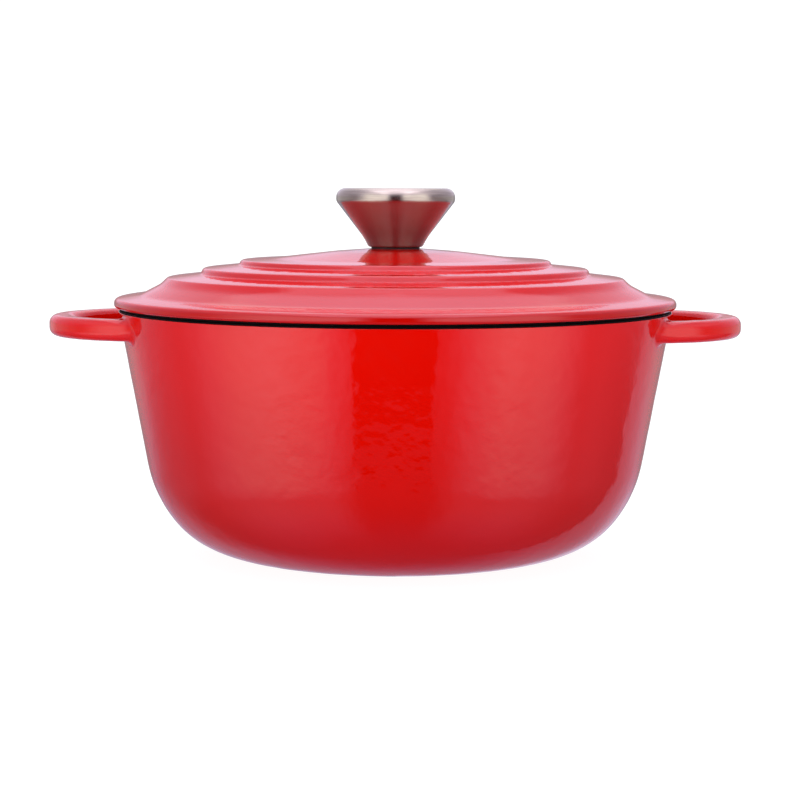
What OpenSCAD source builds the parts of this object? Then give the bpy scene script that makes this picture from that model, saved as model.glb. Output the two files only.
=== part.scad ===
// Enamelled cast iron dutch oven: a round pot with two loop handles, a stepped lid that
// lifts off, and a hollow steel knob held by one screw.
// Millimetres, +Z up. The origin is the middle of the foot ring's underside, Z is the
// axis of the pot, the lid and the knob, and the handles lie along X.

/* [Pot] */
// Radius of the outer wall, carried up to the seat of the lid
wall_r = 132.4; // [128:0.1:134]
// Lean of the wall from upright, in degrees
wall_lean = 10.3; // [6:0.1:13]
// Height of the seat of the lid on the rim
seat_z = 117; // [105:0.5:130]
// Radius where the flat base turns into the lower corner
base_r = 74; // [70:0.5:78]
// Radius of the lower part of the corner
low_corner_r = 42; // [34:0.5:44]
// Slope where the two parts of the corner meet, in degrees from upright
corner_slope = 37; // [34:0.5:42]
// Whole thickness of the wall, with both coats of enamel
wall_t = 4.6; // [4:0.1:6]
// Height of the foot ring below the base
foot_h = 0.8; // [0.6:0.1:1.5]
// Outer radius of the foot ring
foot_r = 72; // [66:0.5:73]

/* [Enamel] */
// Thickness of one coat of enamel
enamel_t = 0.5; // [0.3:0.1:0.6]
// Height of bare rim that shows above the enamel
bare_rim = 1; // [0.6:0.1:1.5]

/* [Handles] */
// Distance of the centre of a loop from the axis of the pot
loop_x = 114; // [112:0.5:116]
// Radius of the centre line of a loop
loop_r = 46; // [43:0.5:48]
// Width of the bar, seen from above
bar_w = 12; // [10:0.5:14]
// Height of the bar
bar_h = 10; // [8:0.5:12]
// Depth of the middle of the bar below the seat of the lid
bar_drop = 8.2; // [7.5:0.1:12]

/* [Lid] */
// Outer radius of the flange
flange_r = 134.2; // [133:0.1:136]
// Height of the flat under the knob, above the seat
crown_h = 28.4; // [27.5:0.1:29.5]
// Whole thickness of the lid, with both coats of enamel
lid_t = 4.8; // [4.4:0.1:5.4]
// Depth of the locating lip inside the pot
locator_h = 4.7; // [3:0.1:8]
// Gap all round between the locating lip and the pot
locator_gap = 1; // [0.6:0.1:2]

/* [Lid steps] */
// Radius of the inner lip
inner_lip_r = 73.9; // [72:0.1:76]
// Height of the inner lip above the seat
inner_lip_h = 23; // [22.5:0.1:23.5]
// Radius of the middle lip
middle_lip_r = 92.1; // [90:0.1:94]
// Height of the middle lip above the seat
middle_lip_h = 19.1; // [18.6:0.1:19.6]
// Radius of the outer lip
outer_lip_r = 109.1; // [108:0.1:110]
// Height of the outer lip above the seat
outer_lip_h = 14.7; // [14.2:0.1:15.2]

/* [Knob] */
// Outer radius of the knob at its rim
knob_r = 28.5; // [26:0.1:30]
// Height of the knob above the seat ring
knob_h = 28; // [26:0.5:30]
// Radius of the underside of the knob
knob_base_r = 12.4; // [11.5:0.1:13.5]
// Thickness of the knob's steel
steel_t = 1.2; // [1:0.1:1.5]
// Thickness of the seat ring under the knob
seat_ring_t = 0.8; // [0.6:0.1:1.2]

/* [Screw] */
// Radius of the screw
screw_r = 3; // [2.5, 3]
// Radius of the clearance hole through the lid
screw_hole_r = 3.3; // [3.3:0.05:3.5]
// Length of the screw under its head
screw_length = 22; // [20:0.5:23]
// Thickness of the flat washer
washer_t = 1.6; // [1.2:0.1:1.6]
// Thickness of the spring washer
spring_washer_t = 1.6; // [1.2:0.1:1.6]

/* [Hidden] */
$fn = 128;
// Largest turn of one straight piece of a rounded corner, in degrees
arc_step = 6;
// Smallest radius that a corner keeps when its outline is shifted
least_corner = 0.2;
enamel_red = "crimson";
enamel_cream = "antiquewhite";
ground_coat = "dimgray";
steel = "silver";

base_z = foot_h;
wall_foot_r = wall_r - seat_z * tan(wall_lean);
flange_under_z = seat_z + 0.9;
flange_top_z = seat_z + 4.95;
// The three lips, from the knob outwards: radius, height, drop and run of the riser below
lips = [[inner_lip_r, seat_z + inner_lip_h, 2.2, 1.2],
        [middle_lip_r, seat_z + middle_lip_h, 2.6, 1.2],
        [outer_lip_r, seat_z + outer_lip_h, 3.2, 3.3]];
crown_z = seat_z + crown_h;
crown_r = 13;
// The top of the lid curves down from the crown through the shoulder to the inner lip
crown_edge = [30, crown_z - 1.3];
shoulder = [59, lips[0][1] + 0.75];
land_z = crown_z - lid_t - enamel_t;
land_r = 12;
seat_outer_r = 131;
knob_z = crown_z + seat_ring_t;
knob_top_z = knob_z + knob_h;
cap_r = knob_r - 7;
cap_dish = 0.4;
insert_r = 7;
insert_flange_r = 10;
insert_h = 18;
washer_r = 6;
spring_washer_r = 5.4;
head_r = 5.5;
head_h = 3.6;
washer_z = land_z + enamel_t - washer_t;
spring_washer_z = washer_z - spring_washer_t;

// ---- Outlines: lists of corners [r, z, corner radius], drawn in the order of the list ----

function at(c) = [c[0], c[1]];
function way(a, b) = (at(b) - at(a)) / norm(at(b) - at(a));
function left_of(u) = [-u[1], u[0]];
function turned(v, a) = [v[0] * cos(a) - v[1] * sin(a), v[0] * sin(a) + v[1] * cos(a)];
// Turn from direction u to direction v in degrees, positive to the left
function turn(u, v) = atan2(u[0] * v[1] - u[1] * v[0], u * v);
function reversed(list) = [for (i = [len(list) - 1 : -1 : 0]) list[i]];

// Points of the arc that rounds corner b, between its neighbours a and c
function rounded_corner(a, b, c) =
    let (u = way(a, b), v = way(b, c), t = turn(u, v))
    b[2] <= 0 || abs(t) < 0.01 ? [at(b)] :
    let (start = at(b) - b[2] * tan(abs(t) / 2) * u,
         inward = sign(t) * b[2] * left_of(u),
         steps = max(2, ceil(abs(t) / arc_step)))
    [for (i = [0 : steps]) start + inward - turned(inward, t * i / steps)];

// Points of an open outline with its corners rounded; its two ends stay sharp
function rounded(list) =
    let (n = len(list) - 1)
    [for (i = [0 : n])
        each i == 0 || i == n ? [at(list[i])] : rounded_corner(list[i - 1], list[i], list[i + 1])];

// The outline moved to its left by d, with its arcs kept concentric
function shifted(list, d) =
    let (n = len(list) - 1)
    [for (i = [0 : n])
        let (u = i > 0 ? way(list[i - 1], list[i]) : way(list[0], list[1]),
             v = i < n ? way(list[i], list[i + 1]) : u,
             a = left_of(u),
             b = left_of(v),
             p = at(list[i]) + d * (a + b) / (1 + a * b),
             r = list[i][2])
        [p[0], p[1], r > 0 ? max(least_corner, r - sign(turn(u, v)) * d) : 0]];

// The outline with both ends cut or carried on to radius r0 at the start and height z1 at the end
function trimmed(list, r0, z1) =
    let (n = len(list) - 1,
         u = way(list[n - 1], list[n]),
         e = at(list[n]) + u * (z1 - list[n][1]) / u[1])
    [for (i = [0 : n]) i == 0 ? [r0, list[0][1], 0] : i == n ? [e[0], e[1], 0] : list[i]];

// A closed ring between an outline and the outline that lies behind it
module ring_between(front, back) {
    rotate_extrude() polygon(concat(rounded(front), reversed(rounded(back))));
}

// ---- Pot ----

function wall_at(z) = wall_foot_r + z * tan(wall_lean);

// Where two lines meet: through p along u, and through q along v
function crossing(p, u, q, v) = p + u * ((q - p) * left_of(v)) / (u * left_of(v));

// The corner is two arcs in a row, the lower one tighter, with a short straight between them
corner_flat = 0.3;
low_cut = low_corner_r * tan((90 - corner_slope) / 2);
low_corner = [base_r + low_cut, base_z];
high_corner = crossing(low_corner, [sin(corner_slope), cos(corner_slope)],
                       [wall_foot_r, 0], [sin(wall_lean), cos(wall_lean)]);
high_corner_r = (norm(high_corner - low_corner) - low_cut - corner_flat)
    / tan((corner_slope - wall_lean) / 2);

// The outer mould line of the pot, from the middle of the base up to the seat
mould_line = [[0, base_z, 0],
              [low_corner[0], low_corner[1], low_corner_r],
              [high_corner[0], high_corner[1], high_corner_r],
              [wall_r, seat_z, 0]];

module pot_casting() {
    rim_edge_r = 0.9;
    foot_inner_r = foot_r - 8;
    foot_edge_r = 0.4;
    recess_z = base_z + enamel_t + 0.3;
    outside = trimmed(shifted(mould_line, enamel_t), foot_r, seat_z);
    inside = trimmed(shifted(mould_line, wall_t - enamel_t), 0, seat_z);
    last = len(outside) - 1;
    face = concat([[0, recess_z, 0],
                   [foot_inner_r, recess_z, foot_edge_r],
                   [foot_inner_r, 0, foot_edge_r],
                   [foot_r, 0, foot_edge_r]],
                  [for (i = [0 : last - 1]) outside[i]],
                  [[outside[last][0], seat_z, rim_edge_r],
                   [inside[last][0], seat_z, rim_edge_r]],
                  reversed([for (i = [0 : last - 1]) inside[i]]));
    color(ground_coat) rotate_extrude() polygon(rounded(face));
}

module pot_exterior_enamel() {
    top = seat_z - bare_rim;
    color(enamel_red)
        ring_between(trimmed(mould_line, foot_r, top), trimmed(shifted(mould_line, enamel_t), foot_r, top));
}

module pot_interior_enamel() {
    top = seat_z - bare_rim;
    color(enamel_cream)
        ring_between(trimmed(shifted(mould_line, wall_t - enamel_t), 0, top),
                     trimmed(shifted(mould_line, wall_t), 0, top));
}

// A loop handle on the +X side: a ring of rounded bar, less what lies inside the wall
module handle() {
    edge_r = 4;
    bar_z = seat_z - bar_drop;
    w = bar_w / 2;
    h = bar_h / 2;
    section = [[loop_r, -h, 0], [loop_r + w, -h, edge_r], [loop_r + w, h, edge_r],
               [loop_r - w, h, edge_r], [loop_r - w, -h, edge_r], [loop_r, -h, 0]];
    ring = rounded(section);
    low = bar_z - bar_h;
    high = bar_z + bar_h;
    color(enamel_red)
        difference() {
            translate([loop_x, 0, bar_z])
                rotate_extrude() polygon([for (i = [0 : len(ring) - 2]) ring[i]]);
            translate([0, 0, low])
                cylinder(h = high - low, r1 = wall_at(low), r2 = wall_at(high));
        }
}

module handle_right() {
    handle();
}

module handle_left() {
    mirror([1, 0, 0]) handle();
}

// ---- Lid ----

// The outer mould line of the lid, from the flat under the knob out and round the flange
lid_line = concat(
    [[0, crown_z, 0],
     [crown_r, crown_z, 6],
     [crown_edge[0], crown_edge[1], 80],
     [shoulder[0], shoulder[1], 60]],
    [for (i = [0 : 2], foot = [0, 1])
        foot == 0 ? [lips[i][0], lips[i][1], 2]
                  : [lips[i][0] + lips[i][3], lips[i][1] - lips[i][2], i < 2 ? 1.5 : 10]],
    [[flange_r - 12.5, flange_top_z + 1.75, 9],
     [flange_r, flange_top_z, 2.3],
     [flange_r, flange_under_z, 1.4],
     [seat_outer_r + 0.6, flange_under_z, 0]]);

// The underside of the lid, from the flat round the screw out to the locating lip
locator_r = wall_at(seat_z - locator_h) - wall_t - locator_gap;
locator_t = 3;
under_line = concat(
    [[0, land_z, 0],
     [land_r, land_z, 8],
     [crown_edge[0], crown_edge[1] - lid_t, 60],
     [shoulder[0] - 1, shoulder[1] - lid_t, 60]],
    [for (i = [0 : 1], foot = [0, 1])
        foot == 0 ? [lips[i][0] - 2.4, lips[i][1] - lid_t, 4]
                  : [lips[i][0] + 2.8, lips[i][1] - lips[i][2] - lid_t, 4]],
    [[lips[2][0] - 2.4, lips[2][1] - lid_t, 6],
     [lips[2][0] + 8.4, seat_z + 2.6, 8],
     [locator_r - locator_t, seat_z + 1.9, 0]]);

// The hole for the screw, through everything between the two heights
module screw_hole(z0, z1) {
    translate([0, 0, z0 - 1]) cylinder(h = z1 - z0 + 2, r = screw_hole_r);
}

module lid_casting() {
    edge_r = 0.8;
    top = shifted(lid_line, -enamel_t);
    under = shifted(under_line, enamel_t);
    rim_z = flange_under_z - 0.3;
    low_z = seat_z - locator_h;
    face = concat(top,
                  [[seat_outer_r + 0.6, rim_z, 0],
                   [seat_outer_r, rim_z, 0],
                   [seat_outer_r, seat_z, 0.2],
                   [locator_r, seat_z, 0.4],
                   [locator_r, low_z, edge_r],
                   [locator_r - locator_t, low_z, edge_r]],
                  reversed(under));
    color(ground_coat)
        difference() {
            rotate_extrude() polygon(rounded(face));
            screw_hole(land_z, crown_z);
        }
}

module lid_exterior_enamel() {
    color(enamel_red)
        difference() {
            ring_between(lid_line, shifted(lid_line, -enamel_t));
            screw_hole(land_z, crown_z);
        }
}

module lid_interior_enamel() {
    // The coat stops at the land, where the washer bears on iron
    color(enamel_cream)
        difference() {
            ring_between(under_line, shifted(under_line, enamel_t));
            translate([0, 0, land_z - 1]) cylinder(h = 4, r = washer_r + 1);
        }
}

// ---- Knob ----

// Outer outline of the knob, from the middle of its underside up to the edge of the cap
knob_line = [[0, knob_z, 0],
             [knob_base_r + 0.5, knob_z, 1.6],
             [knob_base_r + 2.9, knob_z + 4.6, 30],
             [knob_r, knob_z + knob_h * 0.78, 3],
             [knob_r, knob_top_z, 4.4],
             [cap_r + 0.8, knob_top_z, 0.4],
             [cap_r, knob_top_z - 0.6, 0]];

module knob_shell() {
    color(steel)
        difference() {
            ring_between(knob_line, shifted(knob_line, steel_t));
            screw_hole(knob_z, knob_z + steel_t);
        }
}

module knob_cap() {
    inner = shifted(knob_line, steel_t);
    edge = inner[len(inner) - 1];
    top_z = knob_top_z - 0.6;
    color(steel)
        rotate_extrude()
            polygon([[0, top_z - cap_dish], [cap_r - 3, top_z - cap_dish], [cap_r - 1, top_z],
                     [cap_r, top_z], [edge[0], edge[1]], [edge[0], top_z - steel_t - 0.6],
                     [0, top_z - steel_t - 0.6]]);
}

module knob_insert() {
    z = knob_z + steel_t;
    color(steel)
        difference() {
            translate([0, 0, z]) {
                cylinder(h = 2, r = insert_flange_r);
                cylinder(h = insert_h, r = insert_r);
            }
            translate([0, 0, z - 1]) cylinder(h = insert_h + 2, r = screw_r);
        }
}

module knob_seat_ring() {
    color("black")
        difference() {
            translate([0, 0, crown_z]) cylinder(h = seat_ring_t, r = knob_base_r - 0.8);
            screw_hole(crown_z, knob_z);
        }
}

// ---- Screw and washers, under the lid ----

module knob_screw() {
    recess_w = 1.2;
    recess_l = 5.4;
    recess_h = 1.8;
    head_z = spring_washer_z - head_h;
    color(steel)
        difference() {
            rotate_extrude()
                polygon(rounded([[0, head_z, 0], [head_r, head_z, 1.6], [head_r, spring_washer_z, 0],
                                 [screw_r, spring_washer_z, 0],
                                 [screw_r, spring_washer_z + screw_length, 0.6],
                                 [0, spring_washer_z + screw_length, 0]]));
            for (a = [0, 90])
                rotate([0, 0, a])
                    translate([-recess_l / 2, -recess_w / 2, head_z - 1])
                        cube([recess_l, recess_w, recess_h + 1]);
        }
}

module washer_ring(z, r, t) {
    translate([0, 0, z])
        difference() {
            cylinder(h = t, r = r);
            translate([0, 0, -1]) cylinder(h = t + 2, r = screw_r + 0.2);
        }
}

module flat_washer() {
    color(steel) washer_ring(washer_z, washer_r, washer_t);
}

// A spring washer is a ring with one slanting cut
module spring_washer() {
    cut_w = 0.8;
    cut_lean = 25;
    color("gray")
        difference() {
            washer_ring(spring_washer_z, spring_washer_r, spring_washer_t);
            translate([0, 0, spring_washer_z + spring_washer_t / 2])
                rotate([cut_lean, 0, 0])
                    translate([0, -cut_w / 2, -2 * spring_washer_t])
                        cube([spring_washer_r + 1, cut_w, 4 * spring_washer_t]);
        }
}

pot_casting();
pot_exterior_enamel();
pot_interior_enamel();
handle_left();
handle_right();
lid_casting();
lid_exterior_enamel();
lid_interior_enamel();
knob_shell();
knob_cap();
knob_insert();
knob_seat_ring();
knob_screw();
flat_washer();
spring_washer();
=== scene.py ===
"""Enamelled cast iron dutch oven: a round pot with two loop handles, a stepped lid and a steel knob.

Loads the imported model, builds a smooth finished piece for each part that shows, gives every piece
a procedural material, and sets a plain pale studio round it. Outlines are in millimetres, as in
the part's own drawing: lists of corners (r, z, corner radius). Everything in Blender is in metres.
"""

import math

import bmesh
import bpy
import numpy as np
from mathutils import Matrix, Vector, noise


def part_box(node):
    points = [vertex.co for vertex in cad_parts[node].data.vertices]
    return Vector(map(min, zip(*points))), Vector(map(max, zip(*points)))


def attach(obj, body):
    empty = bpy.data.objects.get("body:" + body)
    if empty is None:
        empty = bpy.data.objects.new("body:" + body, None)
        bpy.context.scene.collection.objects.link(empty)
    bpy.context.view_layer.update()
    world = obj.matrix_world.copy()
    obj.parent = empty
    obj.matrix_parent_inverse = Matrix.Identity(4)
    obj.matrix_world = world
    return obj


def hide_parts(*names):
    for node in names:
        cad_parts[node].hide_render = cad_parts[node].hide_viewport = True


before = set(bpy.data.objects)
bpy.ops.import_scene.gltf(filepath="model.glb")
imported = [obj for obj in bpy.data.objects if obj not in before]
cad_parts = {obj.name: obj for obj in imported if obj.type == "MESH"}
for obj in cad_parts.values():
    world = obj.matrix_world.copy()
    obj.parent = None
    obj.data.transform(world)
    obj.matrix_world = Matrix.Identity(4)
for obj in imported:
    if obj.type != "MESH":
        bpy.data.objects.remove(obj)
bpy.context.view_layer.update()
MM = 0.001


# ---- Measures, from the boxes of the imported parts ----

def box_mm(node):
    low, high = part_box(node)
    return low / MM, high / MM


pot_low, pot_high = box_mm("pot_casting")
coat_low, coat_high = box_mm("pot_exterior_enamel")
lid_low, lid_high = box_mm("lid_exterior_enamel")
iron_lid_low, _ = box_mm("lid_casting")
knob_low, knob_high = box_mm("knob_shell")
bar_low, bar_high = box_mm("handle_right")
cap_low, cap_high = box_mm("knob_cap")

SEAT_Z = pot_high.z            # where the lid rests on the rim
RIM_Z = coat_high.z            # where the pot's enamel ends
BASE_Z = coat_low.z            # underside of the enamelled base, above the foot ring
WALL_R = coat_high.x           # outer radius of the wall at RIM_Z
CROWN_Z = lid_high.z           # the lid's flat under the knob
FLANGE_R = lid_high.x
FLANGE_LOW_Z = lid_low.z
LOCATOR_LOW_Z = iron_lid_low.z
KNOB_R = knob_high.x
KNOB_LOW_Z = knob_low.z
KNOB_TOP_Z = knob_high.z
BAR_Z = (bar_low.z + bar_high.z) / 2
BAR_HALF_H = (bar_high.z - bar_low.z) / 2
LOOP_OUTER_X = bar_high.x

WALL_LEAN = math.radians(10.3)
CORNER_SLOPE = math.radians(37)    # of the wall's foot, between its two rounded corners
BASE_R = 74
LOW_CORNER_R = 42
WALL_T = 4.6
COAT_T = 0.5
FOOT_R = 72                    # outside of the foot ring
FOOT_W = 8
LID_T = 4.8
STEEL_T = 1.2
HOLE_R = 3.3                   # bore for the knob's screw
CAP_R = KNOB_R - 7             # where the knob's rolled rim meets the cap


# ---- Outlines ----

def unit(v):
    return v / np.linalg.norm(v)


def left_of(u):
    return np.array([-u[1], u[0]])


def turn(u, v):
    """The signed angle from direction u to direction v."""
    return math.atan2(u[0] * v[1] - u[1] * v[0], float(u @ v))


def rounded(corners, step):
    """The points of an outline, with each corner's arc in pieces of at most step degrees."""
    points = []
    last = len(corners) - 1
    for i, corner in enumerate(corners):
        here, radius = np.array(corner[:2], float), corner[2]
        if i in (0, last) or radius <= 0:
            points.append(here)
            continue
        u = unit(here - np.array(corners[i - 1][:2]))
        v = unit(np.array(corners[i + 1][:2]) - here)
        angle = turn(u, v)
        if abs(angle) < 1e-4:
            points.append(here)
            continue
        start = here - radius * math.tan(abs(angle) / 2) * u
        inward = math.copysign(radius, angle) * left_of(u)
        pieces = max(2, math.ceil(abs(math.degrees(angle)) / step))
        for k in range(pieces + 1):
            c, s = math.cos(angle * k / pieces), math.sin(angle * k / pieces)
            swung = np.array([inward[0] * c - inward[1] * s, inward[0] * s + inward[1] * c])
            points.append(start + inward - swung)
    return points


def shifted(corners, d):
    """The outline moved to its left by d, with its arcs kept concentric."""
    least_r = 0.2
    moved = []
    last = len(corners) - 1
    at = [np.array(c[:2], float) for c in corners]
    for i, corner in enumerate(corners):
        u = unit(at[i] - at[i - 1]) if i > 0 else unit(at[1] - at[0])
        v = unit(at[i + 1] - at[i]) if i < last else u
        a, b = left_of(u), left_of(v)
        p = at[i] + d * (a + b) / (1 + a @ b)
        r = max(least_r, corner[2] - math.copysign(d, turn(u, v))) if corner[2] > 0 else 0
        moved.append((p[0], p[1], r))
    return moved


def trimmed(corners, r0, z1):
    """The outline with its start at radius r0 and its end cut or carried on to height z1."""
    a, b = np.array(corners[-2][:2], float), np.array(corners[-1][:2], float)
    end = b + (b - a) * (z1 - b[1]) / (b - a)[1]
    return [(r0, corners[0][1], 0)] + list(corners[1:-1]) + [(end[0], end[1], 0)]


def opened(corners, r):
    """The outline with its start moved out from the axis to radius r."""
    return [(r, *corners[0][1:]), *corners[1:]]


def fine(points, longest):
    """The same outline with no piece longer than longest."""
    out = [points[0]]
    for a, b in zip(points, points[1:]):
        n = max(1, math.ceil(np.linalg.norm(b - a) / longest))
        out += [a + (b - a) * k / n for k in range(1, n + 1)]
    return out


def wall_at(z):
    """Outer radius of the pot's wall at height z."""
    return WALL_R + (z - RIM_Z) * math.tan(WALL_LEAN)


def pot_outline():
    """The pot's outer mould line, from the middle of the base up to the seat."""
    cut = LOW_CORNER_R * math.tan((math.pi / 2 - CORNER_SLOPE) / 2)
    low = np.array([BASE_R + cut, BASE_Z])
    up_corner = np.array([math.sin(CORNER_SLOPE), math.cos(CORNER_SLOPE)])
    up_wall = np.array([math.sin(WALL_LEAN), math.cos(WALL_LEAN)])
    foot = np.array([wall_at(0), 0.0])
    high = low + up_corner * ((foot - low) @ left_of(up_wall)) / (up_corner @ left_of(up_wall))
    flat = 0.3
    high_r = (np.linalg.norm(high - low) - cut - flat) / math.tan((CORNER_SLOPE - WALL_LEAN) / 2)
    return [(0, BASE_Z, 0), (low[0], low[1], LOW_CORNER_R), (high[0], high[1], high_r),
            (wall_at(SEAT_Z), SEAT_Z, 0)]


# Each lip of the lid: its radius, its height above the seat, and the drop and run of the riser below
LIPS = [(73.9, 23.0, 2.2, 1.2), (92.1, 19.1, 2.6, 1.2), (109.1, 14.7, 3.2, 3.3)]
CROWN_EDGE = (30, CROWN_Z - 1.3)
SHOULDER = (59, SEAT_Z + LIPS[0][1] + 0.75)
LOCATOR_R = wall_at(LOCATOR_LOW_Z) - WALL_T - 1    # the locating lip, 1 mm clear of the pot
LOCATOR_T = 3


def lid_outline():
    """The lid's outer mould line, from the flat under the knob out and round the flange."""
    corners = [(0, CROWN_Z, 0), (13, CROWN_Z, 6), (*CROWN_EDGE, 80), (*SHOULDER, 60)]
    for i, (r, h, drop, run) in enumerate(LIPS):
        corners += [(r, SEAT_Z + h, 2), (r + run, SEAT_Z + h - drop, 1.5 if i < 2 else 10)]
    return corners + [(FLANGE_R - 12.5, SEAT_Z + 6.7, 9), (FLANGE_R, SEAT_Z + 4.95, 2.3),
                      (FLANGE_R, FLANGE_LOW_Z, 1.4), (131.6, FLANGE_LOW_Z, 0)]


def under_outline():
    """The underside of the lid, from the land round the screw out to the locating lip."""
    land_z = CROWN_Z - LID_T - COAT_T
    corners = [(0, land_z, 0), (12, land_z, 8), (CROWN_EDGE[0], CROWN_EDGE[1] - LID_T, 60),
               (SHOULDER[0] - 1, SHOULDER[1] - LID_T, 60)]
    for r, h, drop, _ in LIPS[:2]:
        corners += [(r - 2.4, SEAT_Z + h - LID_T, 4), (r + 2.8, SEAT_Z + h - drop - LID_T, 4)]
    r, h = LIPS[2][:2]
    return corners + [(r - 2.4, SEAT_Z + h - LID_T, 6), (r + 8.4, SEAT_Z + 2.6, 8),
                      (LOCATOR_R - LOCATOR_T, SEAT_Z + 1.9, 0)]


def knob_outline():
    """The knob's outer outline, from the middle of its underside up to the edge of the cap."""
    return [(0, KNOB_LOW_Z, 0), (12.9, KNOB_LOW_Z, 1.6), (15.3, KNOB_LOW_Z + 4.6, 30),
            (KNOB_R, KNOB_LOW_Z + 0.78 * (KNOB_TOP_Z - KNOB_LOW_Z), 3), (KNOB_R, KNOB_TOP_Z, 4.4),
            (CAP_R + 0.8, KNOB_TOP_Z, 0.4), (CAP_R, KNOB_TOP_Z - 0.6, 0)]


# ---- Meshes ----

def mesh_object(name, points, faces):
    """A smooth-shaded closed object from points in millimetres, with its faces turned outwards."""
    mesh = bpy.data.meshes.new(name)
    mesh.from_pydata([tuple(p * MM) for p in points], [], faces)
    bm = bmesh.new()
    bm.from_mesh(mesh)
    bmesh.ops.recalc_face_normals(bm, faces=bm.faces)
    bm.to_mesh(mesh)
    bm.free()
    mesh.polygons.foreach_set("use_smooth", [True] * len(mesh.polygons))
    mesh.update()
    obj = bpy.data.objects.new(name, mesh)
    bpy.context.scene.collection.objects.link(obj)
    return obj


def lathe(name, corners, arc_step, longest, around):
    """A solid of revolution. The outline runs from the axis to the axis, or closes on itself.

    Its arcs turn by at most arc_step degrees at a time, no piece is longer than longest, and each ring has
    around points.
    """
    outline = fine(rounded(corners, arc_step), longest)
    on_axis = outline[0][0] < 1e-6
    if not on_axis:
        outline = outline[:-1]
    angles = np.arange(around) * 2 * math.pi / around
    circle = np.stack([np.cos(angles), np.sin(angles), np.zeros(around)], axis=1)
    points, rows = [], []
    for r, z in outline:
        if r < 1e-6:
            rows.append([len(points)] * around)
            points.append(np.array([0, 0, z]))
        else:
            rows.append(list(range(len(points), len(points) + around)))
            points.extend(circle * r + np.array([0, 0, z]))
    pairs = list(zip(rows, rows[1:])) + ([] if on_axis else [(rows[-1], rows[0])])
    faces = []
    for lower, upper in pairs:
        for k in range(around):
            j = (k + 1) % around
            faces.append(list(dict.fromkeys((lower[k], lower[j], upper[j], upper[k]))))
    return mesh_object(name, points, faces)


def coat_outline(front, back, edge_r=0.22):
    """The closed outline of a thin coat between two mould lines, with round edges at both ends."""
    start = (np.array(front[0][:2]) + np.array(back[0][:2])) / 2
    ends = [(front[0][0], front[0][1], edge_r), *front[1:-1], (front[-1][0], front[-1][1], edge_r),
            (back[-1][0], back[-1][1], edge_r), *back[-2:0:-1], (back[0][0], back[0][1], edge_r)]
    return [(start[0], start[1], 0), *ends, (start[0], start[1], 0)]


def wavy(obj, height=0.06, wave=7.5):
    """Moves the surface in and out by up to height, in waves about wave long, both in millimetres.

    The waves are fixed in space, so that pieces that meet stay flush.
    """
    mesh = obj.data
    co = np.empty(len(mesh.vertices) * 3)
    normals = np.empty(len(mesh.vertices) * 3)
    mesh.vertices.foreach_get("co", co)
    mesh.vertex_normals.foreach_get("vector", normals)
    co, normals = co.reshape(-1, 3), normals.reshape(-1, 3)
    lift = np.array([noise.noise(Vector(p / (wave * MM))) for p in co])
    mesh.vertices.foreach_set("co", (co + normals * (lift * height * MM)[:, None]).ravel())
    mesh.update()
    return obj


# ---- Handles: a rounded bar bent to a loop, which flows into the wall ----

LOOP_R = 46
BAR_HALF_W = 6
BAR_EDGE_R = 4
LOOP_X = LOOP_OUTER_X - LOOP_R - BAR_HALF_W
ROOT_BLEND = 6.5               # width of the fillet into the wall, beside the bar
RIM_BLEND = 2.2                # what fits between the top of the bar and the rim
LOW_BLEND = 2.8                # under the bar
EDGE_DEPTH = 0.12              # how far the fillet's edge lies under the wall
TAIL_DEPTH = 1.5               # how far the closed end lies in the wall


def bar_distance(p):
    """Distance of points from the surface of the bar, as if it ran on through the wall."""
    across = np.hypot(p[:, 0] - LOOP_X, p[:, 1]) - LOOP_R
    dx = np.abs(across) - (BAR_HALF_W - BAR_EDGE_R)
    dz = np.abs(p[:, 2] - BAR_Z) - (BAR_HALF_H - BAR_EDGE_R)
    outside = np.hypot(np.maximum(dx, 0), np.maximum(dz, 0))
    return outside + np.minimum(np.maximum(dx, dz), 0) - BAR_EDGE_R


def root_distance(p):
    """Distance from bar and wall together, blended where they meet. The blend is narrower above and below."""
    bar = bar_distance(p)
    wall = (np.hypot(p[:, 0], p[:, 1]) - wall_at(p[:, 2])) * math.cos(WALL_LEAN)
    up = np.clip((p[:, 2] - BAR_Z) / (RIM_Z - BAR_Z), 0, 1)
    down = np.clip((BAR_Z - p[:, 2]) / (BAR_HALF_H + 1), 0, 1)
    blend = (ROOT_BLEND + (RIM_BLEND - ROOT_BLEND) * up * up * (3 - 2 * up)
             + (LOW_BLEND - ROOT_BLEND) * down * down * (3 - 2 * down))
    overlap = np.maximum(blend - np.abs(bar - wall), 0)
    return np.minimum(bar, wall) - overlap ** 2 / (4 * blend)


def settled(p, depth=0.0):
    """Points moved onto the blended surface, or depth below it."""
    step = 0.01
    for _ in range(8):
        slope = np.stack([(root_distance(p + e) - root_distance(p - e)) / (2 * step)
                          for e in np.eye(3) * step], axis=1)
        miss = root_distance(p) + depth
        p = p - slope * (miss / np.maximum((slope ** 2).sum(axis=1), 0.05))[:, None]
    return p


def bar_section():
    """The bar's section: points (across, up) and their outward normals."""
    w, h, r = BAR_HALF_W, BAR_HALF_H, BAR_EDGE_R
    corners = [(w, 0, 0), (w, h, r), (-w, h, r), (-w, -h, r), (w, -h, r), (w, 0, 0)]
    points = fine(rounded(corners, 10), 0.8)[:-1]
    ahead = np.roll(points, -1, axis=0) - np.roll(points, 1, axis=0)
    normals = np.array([unit(-left_of(a)) for a in ahead])
    return np.array(points), normals


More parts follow.
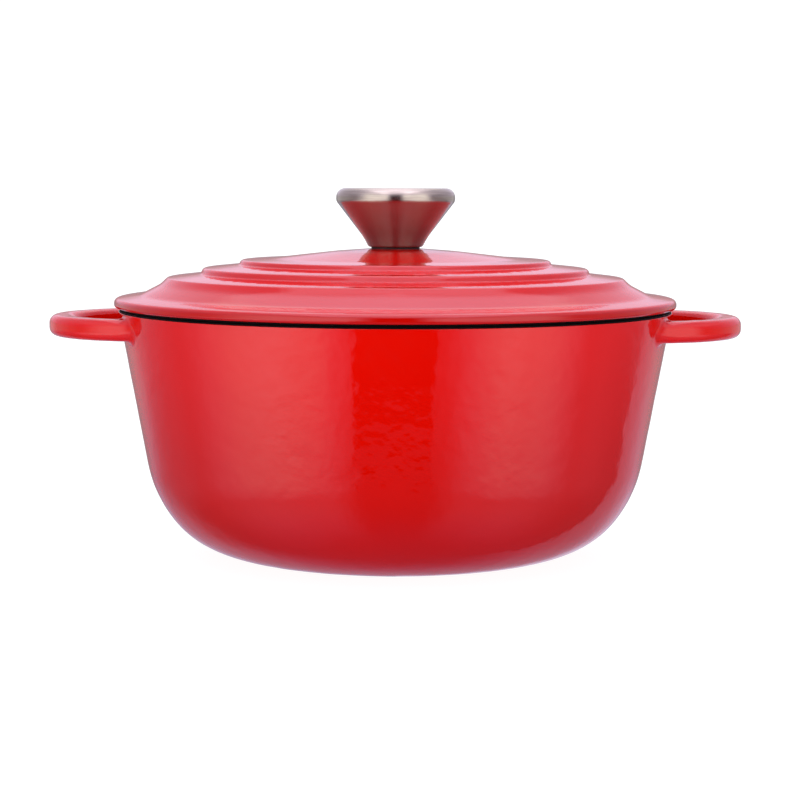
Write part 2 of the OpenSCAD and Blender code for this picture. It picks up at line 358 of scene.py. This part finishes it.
def handle(name, side):
    """A loop handle on the +X side, or mirrored to -X with side -1."""
    section, normals = bar_section()
    radius = LOOP_R + section[:, 0]
    height = BAR_Z + section[:, 1]
    meet_x = (wall_at(height) ** 2 + LOOP_X ** 2 - radius ** 2) / (2 * LOOP_X)
    root_angle = np.arccos((meet_x - LOOP_X) / radius)

    def ring(share):
        a = root_angle * share
        return np.stack([LOOP_X + radius * np.cos(a), radius * np.sin(a), height], axis=1)

    def skirt(end, reach):
        """A ring on the wall round the root, reach from the bar, seen from end 1 or -1 of the loop."""
        root = ring(end)
        a = root_angle * end
        out = np.stack([normals[:, 0] * np.cos(a), normals[:, 0] * np.sin(a), normals[:, 1]], axis=1)
        wall_out = root * [1, 1, 0]
        wall_out /= np.linalg.norm(wall_out, axis=1)[:, None]
        wall_out = wall_out * math.cos(WALL_LEAN) - np.array([0, 0, math.sin(WALL_LEAN)])
        along = out - wall_out * (out * wall_out).sum(axis=1)[:, None]
        along /= np.linalg.norm(along, axis=1)[:, None]
        room = np.where(along[:, 2] > 0, (RIM_Z - 0.3 - root[:, 2]) / np.maximum(along[:, 2], 1e-3), 99)
        narrow = 1 - (1 - LOW_BLEND / ROOT_BLEND) * np.clip(-along[:, 2], 0, 1) ** 2
        return root + along * np.minimum(reach * narrow, room)[:, None]

    reaches = np.linspace(0.12, 1.35, 12) * ROOT_BLEND
    widest = reaches[-1]
    rings = [settled(skirt(-1, widest), TAIL_DEPTH)]
    rings += [settled(skirt(-1, r), EDGE_DEPTH if r == widest else 0) for r in reaches[::-1]]
    rings += [settled(ring(share)) for share in np.linspace(-1, 1, 151)]
    rings += [settled(skirt(1, r), EDGE_DEPTH if r == widest else 0) for r in reaches]
    rings += [settled(skirt(1, widest), TAIL_DEPTH)]

    n = len(section)
    points = np.concatenate(rings) * [side, 1, 1]
    faces = [[i * n + k, i * n + (k + 1) % n, (i + 1) * n + (k + 1) % n, (i + 1) * n + k]
             for i in range(len(rings) - 1) for k in range(n)]
    faces += [list(range(n)), list(range((len(rings) - 1) * n, len(rings) * n))]
    return wavy(mesh_object(name, list(points), faces))


# ---- Materials ----

class Graph:
    """A node tree with short ways to add nodes. Values are numbers or sockets."""

    def __init__(self, tree):
        self.tree = tree

    def node(self, kind, inputs=(), **settings):
        made = self.tree.nodes.new(kind)
        for key, value in settings.items():
            setattr(made, key, value)
        for key, value in dict(inputs).items():
            self.put(made.inputs[key], value)
        return made

    def put(self, socket, value):
        if isinstance(value, bpy.types.NodeSocket):
            self.tree.links.new(value, socket)
        else:
            socket.default_value = value

    def math(self, operation, *values):
        return self.node("ShaderNodeMath", enumerate(values), operation=operation).outputs[0]

    def smooth(self, value, start, end, low=0.0, high=1.0):
        """low until value reaches start, high from end on, and a smooth step between."""
        inputs = {"Value": value, "From Min": start, "From Max": end, "To Min": low, "To Max": high}
        made = self.node("ShaderNodeMapRange", inputs, interpolation_type="SMOOTHSTEP")
        return made.outputs["Result"]

    def noise(self, place, scale, detail=2.0, roughness=0.5):
        """Noise from 0 to 1, with scale waves in a metre."""
        inputs = {"Vector": place, "Scale": scale, "Detail": detail, "Roughness": roughness}
        return self.node("ShaderNodeTexNoise", inputs).outputs["Fac"]

    def mix(self, share, a, b):
        made = self.node("ShaderNodeMix", data_type="RGBA")
        self.put(made.inputs[0], share)
        self.put(made.inputs[6], (*a, 1) if isinstance(a, tuple) else a)
        self.put(made.inputs[7], (*b, 1) if isinstance(b, tuple) else b)
        return made.outputs[2]

    def bump(self, height, distance, normal=None):
        """A bump of height, a value from 0 to 1, over distance in metres."""
        inputs = {"Height": height, "Distance": distance}
        if normal is not None:
            inputs["Normal"] = normal
        return self.node("ShaderNodeBump", inputs).outputs["Normal"]


def emptied(owner):
    """The graph of a material or world, with no nodes in it yet."""
    owner.use_nodes = True
    owner.node_tree.nodes.clear()
    return Graph(owner.node_tree)


def surface(name, settings):
    """A material, its graph, its shader and the place on the object in metres."""
    material = bpy.data.materials.new(name)
    g = emptied(material)
    shader = g.node("ShaderNodeBsdfPrincipled", settings)
    g.node("ShaderNodeOutputMaterial", {"Surface": shader.outputs[0]})
    place = g.node("ShaderNodeTexCoord").outputs["Object"]
    return material, g, shader, place


def enamel(name, colour, thin_colour, peel, edge_z=None):
    """Glossy fired enamel: slow drift of colour, orange peel of peel metres, and small unevenness of gloss.

    Where edge_z is given, the red is painted darker for 3 to 4 mm above that height in millimetres: painted
    shade on the lower band of the flange, which faces down.
    """
    material, g, shader, place = surface(name, {"IOR": 1.5})
    drift = g.smooth(g.noise(place, 14, 3), 0.35, 0.7)
    shade = g.mix(drift, colour, thin_colour)
    if edge_z is not None:
        # Painted shade: below the band 3 to 4.2 mm above edge_z the red is mixed to a darker red.
        height = g.node("ShaderNodeSeparateXYZ", {0: place}).outputs[2]
        above = g.smooth(height, (edge_z + 3) * MM, (edge_z + 4.2) * MM)
        shade = g.mix(above, (0.48, 0.0018, 0.0003), shade)
    g.put(shader.inputs["Base Color"], shade)
    g.put(shader.inputs["Roughness"], g.smooth(g.noise(place, 160, 2), 0.3, 0.7, 0.03, 0.06))
    long_waves = g.bump(g.noise(place, 190, 1.5), peel)
    short_waves = g.bump(g.noise(place, 520, 2), peel * 0.16, long_waves)
    g.put(shader.inputs["Normal"], short_waves)
    return material


def ground_coat(name):
    """The bare black ground coat on iron: matte, finely grained."""
    material, g, shader, place = surface(name, {"IOR": 1.5, "Specular IOR Level": 0.1})
    grain = g.noise(place, 900, 4, 0.6)
    g.put(shader.inputs["Base Color"], g.mix(grain, (0.001, 0.001, 0.001), (0.004, 0.0035, 0.0035)))
    g.put(shader.inputs["Roughness"], g.smooth(g.noise(place, 240, 3), 0.3, 0.7, 0.55, 0.75))
    g.put(shader.inputs["Normal"], g.bump(grain, 0.00012, g.bump(g.noise(place, 130, 3), 0.0002)))
    return material


def turned_steel(name, colour, dark_colour, fine_lines, roughness):
    """Steel with circular brush lines round the axis: thin rings that fade in and out along their length."""
    settings = {"Metallic": 1.0, "Anisotropic": 1.0, "Anisotropic Rotation": 0.25}
    material, g, shader, place = surface(name, settings)
    part = g.node("ShaderNodeSeparateXYZ", {0: place}).outputs
    radius = g.math("SQRT", g.math("ADD", g.math("POWER", part[0], 2), g.math("POWER", part[1], 2)))
    angle = g.math("ARCTAN2", part[1], part[0])
    stretched = g.node("ShaderNodeCombineXYZ", {0: g.math("MULTIPLY", radius, fine_lines),
                                                1: g.math("MULTIPLY", part[2], fine_lines),
                                                2: g.math("MULTIPLY", angle, 2.2)}).outputs[0]
    lines = g.noise(stretched, 1, 4, 0.7)
    low, high = roughness
    g.put(shader.inputs["Base Color"], g.mix(g.smooth(lines, 0.3, 0.72), dark_colour, colour))
    g.put(shader.inputs["Roughness"], g.smooth(lines, 0.3, 0.7, high, low))
    g.put(shader.inputs["Normal"], g.bump(lines, 0.0000015))
    g.put(shader.inputs["Tangent"], g.node("ShaderNodeTangent", direction_type="RADIAL", axis="Z").outputs[0])
    return material


def seat_rubber(name):
    """Black rubber with a fine grain."""
    material, g, shader, place = surface(name, {"IOR": 1.5})
    grain = g.noise(place, 1500, 3)
    g.put(shader.inputs["Base Color"], g.mix(grain, (0.003, 0.003, 0.003), (0.010, 0.009, 0.009)))
    g.put(shader.inputs["Roughness"], g.smooth(grain, 0.3, 0.7, 0.55, 0.75))
    g.put(shader.inputs["Normal"], g.bump(grain, 0.00004))
    return material


RED = enamel("red_enamel", (0.72, 0.0031, 0.0004), (0.69, 0.0026, 0.0003), 0.0001)
CREAM = enamel("cream_enamel", (0.84, 0.79, 0.68), (0.80, 0.74, 0.62), 0.00010)
# The lid's red has flatter orange peel and painted shade on the lower band of the flange.
LID_RED = enamel("lid_enamel", (0.72, 0.0031, 0.0004), (0.69, 0.0026, 0.0003), 0.00006, FLANGE_LOW_Z)
BLACK = ground_coat("black_ground_coat")
BRUSHED = turned_steel("brushed_steel", (0.54, 0.48, 0.39), (0.42, 0.375, 0.305), 3600, (0.20, 0.25))
PLAIN = turned_steel("turned_steel", (0.58, 0.58, 0.59), (0.44, 0.44, 0.45), 1800, (0.26, 0.40))
RUBBER = seat_rubber("seat_rubber")


# ---- Pieces ----

def dressed(obj, material, body, slot, *nodes):
    """The piece with its material, riding on its body in place of the CAD nodes."""
    obj.data.materials.append(material)
    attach(obj, body)
    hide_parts(*nodes)
    return obj


def pot_iron():
    """The bare casting: foot ring, recess under the base, and the rim that the lid rests on."""
    foot_inner_r = FOOT_R - FOOT_W
    recess_z = BASE_Z + COAT_T + 0.3
    outside = trimmed(shifted(pot_outline(), COAT_T), FOOT_R, SEAT_Z)
    inside = trimmed(shifted(pot_outline(), WALL_T - COAT_T), 0, SEAT_Z)
    rim_edge = 0.9
    corners = [(0, recess_z, 0), (foot_inner_r, recess_z, 0.4), (foot_inner_r, pot_low.z, 0.4),
               (FOOT_R, pot_low.z, 0.4), *outside[:-1], (outside[-1][0], SEAT_Z, rim_edge),
               (inside[-1][0], SEAT_Z, rim_edge), *inside[-2::-1]]
    return lathe("pot_iron", corners, arc_step=12, longest=3, around=240)


def pot_coat_outside():
    """The red coat, from the foot ring up to the bare rim."""
    line = pot_outline()
    corners = coat_outline(trimmed(line, FOOT_R, RIM_Z), trimmed(shifted(line, COAT_T), FOOT_R, RIM_Z))
    return wavy(lathe("pot_coat_outside", corners, arc_step=3, longest=2.1, around=320))


def pot_coat_inside():
    """The cream coat, from the middle of the bottom up to the bare rim."""
    line = pot_outline()
    back = trimmed(shifted(line, WALL_T - COAT_T), 0, RIM_Z)
    face = trimmed(shifted(line, WALL_T), 0, RIM_Z)
    edge_r = 0.22
    corners = [*back[:-1], (*back[-1][:2], edge_r), (*face[-1][:2], edge_r), *face[-2::-1]]
    return wavy(lathe("pot_coat_inside", corners, arc_step=3, longest=2.4, around=360))


def lid_iron():
    """The lid's casting: the bare underside of the flange and the locating lip show."""
    top = opened(shifted(lid_outline(), -COAT_T), HOLE_R)
    under = opened(shifted(under_outline(), COAT_T), HOLE_R)
    rim_z = FLANGE_LOW_Z - 0.3
    seat_outer_r = 131
    corners = [*top, (seat_outer_r + 0.6, rim_z, 0), (seat_outer_r, rim_z, 0), (seat_outer_r, SEAT_Z, 0.2),
               (LOCATOR_R, SEAT_Z, 0.4), (LOCATOR_R, LOCATOR_LOW_Z, 0.8),
               (LOCATOR_R - LOCATOR_T, LOCATOR_LOW_Z, 0.8), *under[::-1], top[0]]
    return lathe("lid_iron", corners, arc_step=12, longest=3, around=240)


def lid_coat_top():
    """The red coat on top of the lid, round to the underside of the flange. Its waves are flatter and longer."""
    front = opened(lid_outline(), HOLE_R)
    back = opened(shifted(lid_outline(), -COAT_T), HOLE_R)
    coat = lathe("lid_coat_top", coat_outline(front, back), arc_step=9, longest=1.9, around=320)
    return wavy(coat, height=0.02, wave=12)


def lid_coat_under():
    """The cream coat under the lid, from the bare land round the screw out to the locating lip."""
    land_r = 7
    front = opened(under_outline(), land_r)
    back = opened(shifted(under_outline(), COAT_T), land_r)
    return wavy(lathe("lid_coat_under", coat_outline(front, back), arc_step=5, longest=2, around=300))


def knob_skin():
    """The knob's spun steel body, open at the top for the cap."""
    front = opened(knob_outline(), HOLE_R)
    back = opened(shifted(knob_outline(), STEEL_T), HOLE_R)
    return lathe("knob_skin", coat_outline(front, back, edge_r=0.12), arc_step=3, longest=0.9, around=240)


def knob_disc():
    """The cap in the knob's mouth, dished in the middle."""
    edge_r = cap_high.x - 0.01
    low, top = cap_low.z, cap_high.z
    dish = 0.4
    corners = [(0, low, 0), (edge_r, low, 0.2), (edge_r, top - STEEL_T, 0.1), (CAP_R, top, 0.2),
               (CAP_R - 1, top, 0.4), (CAP_R - 3, top - dish, 3), (0, top - dish, 0)]
    return lathe("knob_disc", corners, arc_step=6, longest=0.9, around=240)


dressed(pot_iron(), BLACK, "pot", "ground_coat", "pot_casting")
dressed(pot_coat_outside(), RED, "pot", "exterior_enamel", "pot_exterior_enamel")
dressed(pot_coat_inside(), CREAM, "pot", "interior_enamel", "pot_interior_enamel")
dressed(handle("handle_loop_right", 1), RED, "pot", "enamelled_iron", "handle_right")
dressed(handle("handle_loop_left", -1), RED, "pot", "enamelled_iron", "handle_left")
dressed(lid_iron(), BLACK, "lid", "ground_coat", "lid_casting")
dressed(lid_coat_top(), LID_RED, "lid", "exterior_enamel", "lid_exterior_enamel")
dressed(lid_coat_under(), CREAM, "lid", "interior_enamel", "lid_interior_enamel")
dressed(knob_skin(), BRUSHED, "knob", "brushed_steel", "knob_shell")
dressed(knob_disc(), BRUSHED, "knob", "brushed_steel", "knob_cap")

for node, material in {"knob_insert": PLAIN, "knob_seat_ring": RUBBER, "knob_screw": PLAIN,
                       "flat_washer": PLAIN, "spring_washer": PLAIN}.items():
    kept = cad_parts[node]
    kept.data.materials.clear()
    kept.data.materials.append(material)


# ---- Studio ----

def azimuth_of(g, vector):
    """Degrees round the axis, 0 towards the camera and 90 to its right, and the parts of the vector."""
    part = g.node("ShaderNodeSeparateXYZ", {0: vector}).outputs
    turned = g.math("ARCTAN2", part[0], g.math("MULTIPLY", part[1], -1))
    return g.math("DEGREES", turned), part


def profile(g, value, stops):
    """A value that runs smoothly through the stops (place, height)."""
    total = stops[0][1]
    for (a, low), (b, high) in zip(stops, stops[1:]):
        if low != high:
            total = g.math("ADD", total, g.smooth(value, a, b, 0, high - low))
    return total


# Brightness of the studio in reflections, by degrees round the axis: the table, the front softboxes
# seen low and high, and the room above them. OVERHEAD is the top softbox, by its reach towards the camera
# for each metre of height.
TABLE_LIGHT = [(-180, 0.45), (-155, 0.45), (-120, 0.16), (-60, 0.56), (-38, 0.52), (-12, 0.12), (14, 0.12),
               (38, 0.42), (60, 0.48), (112, 0.17), (124, 0.14), (128, 0.42), (180, 0.45)]
LOW_LIGHT = [(-180, 0.55), (-130, 0.26), (-105, 0.30), (-50, 1.85), (-38, 1.60), (-19, 0.50), (-17, 0.12),
             (17, 0.12), (19, 0.25), (50, 1.60), (62, 1.30), (92, 0.32), (124, 0.15), (128, 0.45), (180, 0.80)]
HIGH_LIGHT = [(-180, 0.85), (-120, 0.55), (-85, 0.40), (-45, 1.7), (-20, 1.7), (-6, 0.0), (6, 0.0),
              (20, 1.6), (58, 1.5), (78, 0.35), (130, 0.55), (180, 0.85)]
TOP_LIGHT = [(-180, 1.10), (-130, 0.60), (-60, 1.10), (-30, 0.90), (-8, 0.50), (10, 0.50), (60, 1.20),
             (130, 0.60), (180, 1.10)]
OVERHEAD = [(-3.0, 0.0), (-1.0, 0.5), (-0.35, 1.0), (-0.15, 1.2), (0.05, 1.4), (0.8, 1.4), (0.95, 0.0)]


def blend(g, share, a, b):
    """A value that goes from a to b as share goes from 0 to 1."""
    return g.math("ADD", a, g.math("MULTIPLY", share, g.math("SUBTRACT", b, a)))


def held_back(g, azimuth, elevation):
    """The share of light held back by the dark panel round the camera and by the dim gap low behind the pot."""
    across = g.math("ABSOLUTE", azimuth)
    panel = g.math("MULTIPLY", g.smooth(across, 16, 18, 1, 0),
                   profile(g, elevation, [(-28, 0), (-27.2, 1), (-17, 1), (-6, 0)]))
    gap = g.math("MULTIPLY", g.smooth(across, 140, 165),
                 profile(g, elevation, [(-17, 0), (-10, 0.6), (2, 0.6), (8, 0)]))
    return g.math("MAXIMUM", panel, gap)


def reflected_studio(g, azimuth, elevation, part):
    """Two softboxes and a dark panel round the camera, one softbox overhead, a lit backdrop and a dim room.

    part is the direction's x, y and z.
    """
    layers = [profile(g, azimuth, stops) for stops in (TABLE_LIGHT, LOW_LIGHT, HIGH_LIGHT, TOP_LIGHT)]
    under_pot = 0.17
    light = blend(g, g.smooth(elevation, -78, -38), under_pot, layers[0])
    for layer, (start, end) in zip(layers[1:], ((-34, -20), (-17, -6), (18, 45))):
        light = blend(g, g.smooth(elevation, start, end), light, layer)
    light = g.math("MULTIPLY", light, g.math("SUBTRACT", 1, held_back(g, azimuth, elevation)))
    up = g.math("MAXIMUM", part[2], 0.02)
    aside = g.math("ABSOLUTE", g.math("DIVIDE", part[0], up))
    ahead = g.math("DIVIDE", g.math("MULTIPLY", part[1], -1), up)
    overhead = g.math("MULTIPLY", g.smooth(aside, 0.42, 0.56, 1, 0), profile(g, ahead, OVERHEAD))
    return g.math("ADD", light, g.math("MULTIPLY", overhead, g.smooth(part[2], 0.05, 0.2)))


def soft_fill(g, azimuth, elevation):
    """The even light that falls on the pot from above and from low in front."""
    turned = g.math("RADIANS", azimuth)
    front = g.math("POWER", g.math("MULTIPLY_ADD", g.math("COSINE", turned), 0.5, 0.5), 2.0)
    left = g.smooth(g.math("ABSOLUTE", g.math("ADD", azimuth, 38)), 15, 60, 1, 0)
    right = g.smooth(g.math("ABSOLUTE", g.math("SUBTRACT", azimuth, 38)), 15, 60, 1, 0)
    sides = g.math("ADD", g.math("MULTIPLY", left, 1.2), g.math("MULTIPLY", right, 0.85))
    beam = g.math("ADD", g.math("MULTIPLY", front, 1.1), sides)
    beam = g.math("MULTIPLY", beam, profile(g, elevation, [(-48, 0.0), (-20, 1.0), (0, 1.0), (22, 0.0)]))
    above = g.smooth(elevation, 50, 80, 0, 2.2)
    around = g.smooth(elevation, -70, -40, 0.45, 0.3)
    return g.math("ADD", g.math("ADD", beam, above), around)


def studio_world():
    """The studio as light from all round: one map for reflections, one for soft light, and white for the camera.

    Bright light is near white, dim light is tinted lilac, and the table right under the pot more so.
    """
    world = bpy.data.worlds.new("studio")
    bpy.context.scene.world = world
    g = emptied(world)
    azimuth, part = azimuth_of(g, g.node("ShaderNodeTexCoord").outputs["Generated"])
    elevation = g.math("DEGREES", g.math("ARCSINE", part[2]))
    light = reflected_studio(g, azimuth, elevation, part)
    clear = g.math("MULTIPLY", g.smooth(light, 0.4, 1.4), g.smooth(elevation, 30, 50, 1, 0.3))
    level = profile(g, elevation, [(-14, 0), (-8, 1), (3, 1), (8, 0)])
    near_white, lilac, deep_lilac = (1.04, 1.0, 1.08), (1.12, 1.0, 1.35), (1.2, 1.0, 1.65)
    tint = g.mix(g.math("MAXIMUM", clear, level), lilac, near_white)
    tint = g.mix(g.smooth(elevation, -65, -35), deep_lilac, tint)
    mirrored = g.node("ShaderNodeBackground", {"Color": tint, "Strength": light})
    fill = g.node("ShaderNodeBackground", {"Color": (1, 1, 1, 1), "Strength": soft_fill(g, azimuth, elevation)})
    plain = g.node("ShaderNodeBackground", {"Color": (1, 1, 1, 1), "Strength": 1.1})
    ray = g.node("ShaderNodeLightPath").outputs
    lit = g.node("ShaderNodeMixShader", {0: ray["Is Diffuse Ray"], 1: mirrored.outputs[0], 2: fill.outputs[0]})
    both = g.node("ShaderNodeMixShader", {0: ray["Is Camera Ray"], 1: lit.outputs[0], 2: plain.outputs[0]})
    g.node("ShaderNodeOutputWorld", {"Surface": both.outputs[0]})


def stage_disc(name, radius, z, material):
    """A flat disc round the axis, facing up. It is not part of the object."""
    steps = 48
    turns = [2 * math.pi * k / steps for k in range(steps)]
    rim = [(radius * math.sin(t), -radius * math.cos(t), z) for t in turns]
    mesh = bpy.data.meshes.new(name)
    mesh.from_pydata([(0, 0, z), *rim], [], [(0, k + 1, (k + 1) % steps + 1) for k in range(steps)])
    mesh.materials.append(material)
    obj = bpy.data.objects.new(name, mesh)
    bpy.context.scene.collection.objects.link(obj)
    return obj


def floor_material():
    """A pale lit table: most of its light is its own, so that shadows on it stay faint.

    It is clear from below, so that the underside of the pot can be looked at.
    """
    settings = {"IOR": 1.4, "Emission Color": (1, 1, 1, 1), "Emission Strength": 0.955}
    material, g, shader, place = surface("pale_floor", settings)
    g.put(shader.inputs["Base Color"], g.mix(g.noise(place, 3, 3), (0.13, 0.13, 0.13), (0.14, 0.14, 0.14)))
    g.put(shader.inputs["Roughness"], g.smooth(g.noise(place, 60, 2), 0.3, 0.7, 0.7, 0.8))
    below = g.node("ShaderNodeNewGeometry").outputs["Backfacing"]
    clear = g.node("ShaderNodeBsdfTransparent").outputs[0]
    seen = g.node("ShaderNodeMixShader", {0: below, 1: shader.outputs[0], 2: clear})
    g.put(g.tree.get_output_node("ALL").inputs["Surface"], seen.outputs[0])
    return material


def glow_material(name, strength):
    """Nothing but an even white glow."""
    material = bpy.data.materials.new(name)
    g = emptied(material)
    glow = g.node("ShaderNodeEmission", {"Strength": strength})
    g.node("ShaderNodeOutputMaterial", {"Surface": glow.outputs[0]})
    return material


def studio():
    """The lighting, a wide pale floor that only the camera sees, and the table's glow close under the pot.

    The glow stands in for the floor in soft light and shadow. Camera and reflections don't see it: the table
    that the pot mirrors is part of the world's light.
    """
    studio_world()
    floor = stage_disc("floor", 40, -0.0002, floor_material())
    floor.visible_glossy = False
    floor.visible_diffuse = False
    floor.visible_shadow = False
    shade = stage_disc("table_shade", 0.32, -0.0004, glow_material("table_shade", 0.45))
    shade.visible_camera = False
    shade.visible_glossy = False


def camera():
    """A long lens a metre in front of the pot, just above the knob, looking slightly down."""
    tilt, roll = 6.13, 0.2
    lens = bpy.data.cameras.new("camera")
    lens.lens = 90
    lens.sensor_width = 36
    lens.clip_start = 0.05
    lens.clip_end = 100
    eye = bpy.data.objects.new("camera", lens)
    eye.location = (0.0024, -0.963, 0.17565)
    eye.rotation_mode = "ZYX"
    eye.rotation_euler = (math.radians(90 - tilt), 0, math.radians(roll))
    bpy.context.scene.collection.objects.link(eye)
    bpy.context.scene.camera = eye


studio()
camera()
bpy.context.scene.view_settings.view_transform = "Standard"
